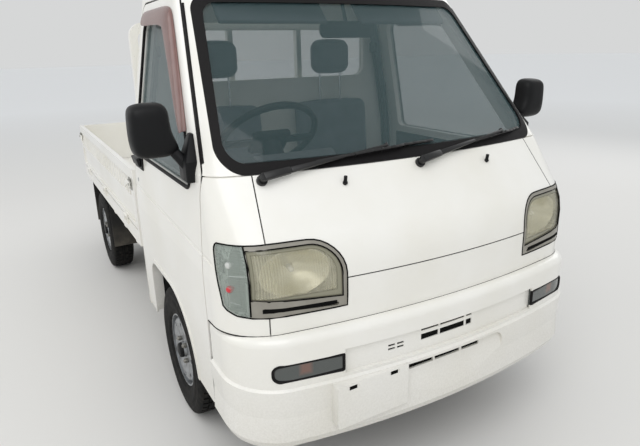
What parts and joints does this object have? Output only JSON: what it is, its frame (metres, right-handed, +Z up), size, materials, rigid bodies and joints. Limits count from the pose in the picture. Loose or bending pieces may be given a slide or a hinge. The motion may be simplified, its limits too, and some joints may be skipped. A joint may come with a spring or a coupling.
{
  "type": "kei truck",
  "caption": "Small cab-over pickup truck with a two-seat cab over the steered front wheels and a flat drop-side bed behind.",
  "frame": {"origin": "on the ground, under the middle of the truck's length and width", "axes": "+X toward the front, +Y to the truck's left, +Z up"},
  "size_m": [3.395, 1.79, 1.7799],
  "materials": {
    "paint": "gloss",
    "window_glass": "clear",
    "seal_rubber": "matte",
    "lamp_clear": "clear",
    "lamp_inner": "gloss",
    "lamp_bezel": "gloss",
    "lamp_red": "gloss",
    "black_plastic": "satin",
    "grey_plastic": "matte",
    "seat_cloth": "woven",
    "floor_paint": "satin",
    "frame_black": "satin",
    "cast_metal": "rough",
    "exhaust_steel": "dull",
    "wheel_silver": "satin",
    "tyre": "matte",
    "plate": "satin"
  },
  "bodies": {
    "truck": {"roof_panel": "paint", "back_panel": "paint", "cab_sides": "paint", "front_panel": "paint", "nose_panel": "paint", "corner_panels": "paint", "front_bumper": "paint", "bed_floor": "paint", "rear_mudguards": "paint", "windscreen": "window_glass", "rear_window": "window_glass", "windscreen_seal": "seal_rubber", "headlamp_lenses": "lamp_clear", "corner_lenses": "lamp_clear", "headlamp_bezels": "lamp_bezel", "headlamp_housings": "lamp_inner", "bumper_lamps": "lamp_inner", "rear_lamps": "lamp_red", "steering_column": "black_plastic", "gear_lever": "black_plastic", "wipers": "black_plastic", "room_mirror": "black_plastic", "dashboard": "grey_plastic", "seat_cushions": "seat_cloth", "seat_backs": "seat_cloth", "cab_floor": "floor_paint", "frame_rails": "frame_black", "leaf_springs": "frame_black", "front_crossmember": "frame_black", "guard_frame": "frame_black", "rear_bumper": "frame_black", "fuel_tank": "frame_black", "rear_axle": "cast_metal", "engine_block": "cast_metal", "gearbox_block": "cast_metal", "propeller_shaft": "cast_metal", "exhaust": "exhaust_steel", "spare_wheel": "tyre", "number_plate": "plate"},
    "door_left": {"door_left": "paint", "door_glass_left": "window_glass", "mirror_left": "black_plastic"},
    "door_right": {"door_right": "paint", "door_glass_right": "window_glass", "mirror_right": "black_plastic"},
    "gate_left": {"gate_left": "paint"},
    "gate_right": {"gate_right": "paint"},
    "tailgate": {"tailgate": "paint"},
    "knuckle_left": {"knuckle_left": "frame_black"},
    "knuckle_right": {"knuckle_right": "frame_black"},
    "steering_wheel": {"steering_wheel": "black_plastic"},
    "wheel_front_left": {"tyre_front_left": "tyre", "rim_front_left": "wheel_silver"},
    "wheel_front_right": {"tyre_front_right": "tyre", "rim_front_right": "wheel_silver"},
    "wheel_rear_left": {"tyre_rear_left": "tyre", "rim_rear_left": "wheel_silver"},
    "wheel_rear_right": {"tyre_rear_right": "tyre", "rim_rear_right": "wheel_silver"}
  },
  "joints": [
    {"name": "door_left_hinge", "type": "hinge", "parent": "truck", "child": "door_left", "pos_m": [1.344, 0.737, 0.9], "axis": [0, 0, -1], "range_deg": [0, 65]},
    {"name": "door_right_hinge", "type": "hinge", "parent": "truck", "child": "door_right", "pos_m": [1.344, -0.737, 0.9], "axis": [0, 0, 1], "range_deg": [0, 65]},
    {"name": "gate_left_hinge", "type": "hinge", "parent": "truck", "child": "gate_left", "pos_m": [-0.7, 0.732, 0.645], "axis": [-1, 0, 0], "range_deg": [0, 170]},
    {"name": "gate_right_hinge", "type": "hinge", "parent": "truck", "child": "gate_right", "pos_m": [-0.7, -0.732, 0.645], "axis": [1, 0, 0], "range_deg": [0, 170]},
    {"name": "tailgate_hinge", "type": "hinge", "parent": "truck", "child": "tailgate", "pos_m": [-1.692, 0, 0.645], "axis": [0, -1, 0], "range_deg": [0, 170]},
    {"name": "steer_right", "type": "hinge", "parent": "truck", "child": "knuckle_right", "pos_m": [0.85, -0.6, 0.196], "axis": [0, 0.2079, 0.9781], "range_deg": [-33, 33]},
    {"name": "steer_left", "type": "hinge", "parent": "truck", "child": "knuckle_left", "pos_m": [0.85, 0.6, 0.196], "axis": [0, -0.2079, 0.9781], "range_deg": [-33, 33]},
    {"name": "steering_wheel_turn", "type": "hinge", "parent": "truck", "child": "steering_wheel", "pos_m": [1.032, -0.35, 1.145], "axis": [-0.7071, 0, 0.7071], "range_deg": [-562, 562]},
    {"name": "wheel_front_left_spin", "type": "hinge", "parent": "knuckle_left", "child": "wheel_front_left", "pos_m": [0.85, 0.652, 0.271], "axis": [0, 1, 0], "continuous": true},
    {"name": "wheel_front_right_spin", "type": "hinge", "parent": "knuckle_right", "child": "wheel_front_right", "pos_m": [0.85, -0.652, 0.271], "axis": [0, 1, 0], "continuous": true},
    {"name": "wheel_rear_left_spin", "type": "hinge", "parent": "truck", "child": "wheel_rear_left", "pos_m": [-1.05, 0.652, 0.271], "axis": [0, 1, 0], "continuous": true},
    {"name": "wheel_rear_right_spin", "type": "hinge", "parent": "truck", "child": "wheel_rear_right", "pos_m": [-1.05, -0.652, 0.271], "axis": [0, 1, 0], "continuous": true}
  ],
  "couplings": [
    {"joint": "steer_left", "follows": "steer_right", "ratio": 1},
    {"joint": "steering_wheel_turn", "follows": "steer_right", "ratio": 17}
  ]
}
